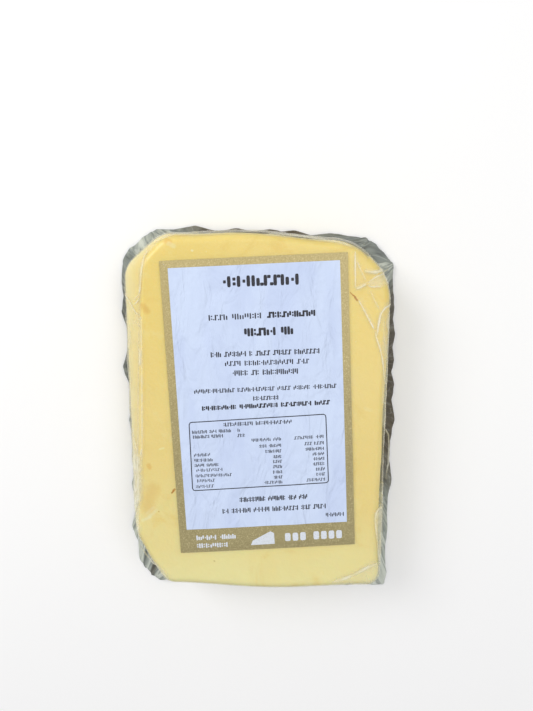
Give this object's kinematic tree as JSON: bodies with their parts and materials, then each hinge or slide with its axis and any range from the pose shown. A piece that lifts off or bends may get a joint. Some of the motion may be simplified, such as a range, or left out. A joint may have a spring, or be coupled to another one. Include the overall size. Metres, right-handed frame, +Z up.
{
  "type": "vacuum-sealed chunk of hard cheese",
  "caption": "Flat chunk of pale yellow hard cheese sealed tight in clear film, with a crinkled fin of film around its foot and a paper label on its face.",
  "frame": {"origin": "on the surface that the pack rests on, under the middle of its bounding box", "axes": "+Z up out of the labelled face, +Y along the pack to the label's top edge, +X to the label's right"},
  "size_m": [0.1012, 0.1382, 0.0231],
  "materials": {
    "sealed_cheese": "pale yellow cheese seen through tight clear film",
    "label_paper": "smooth white paper, cool in daylight",
    "clear_film": "clear vacuum film with fine creases",
    "gold_print": "dull speckled gold print"
  },
  "bodies": {
    "root": {"pack": "sealed_cheese", "label": "label_paper"}
  },
  "joints": []
}
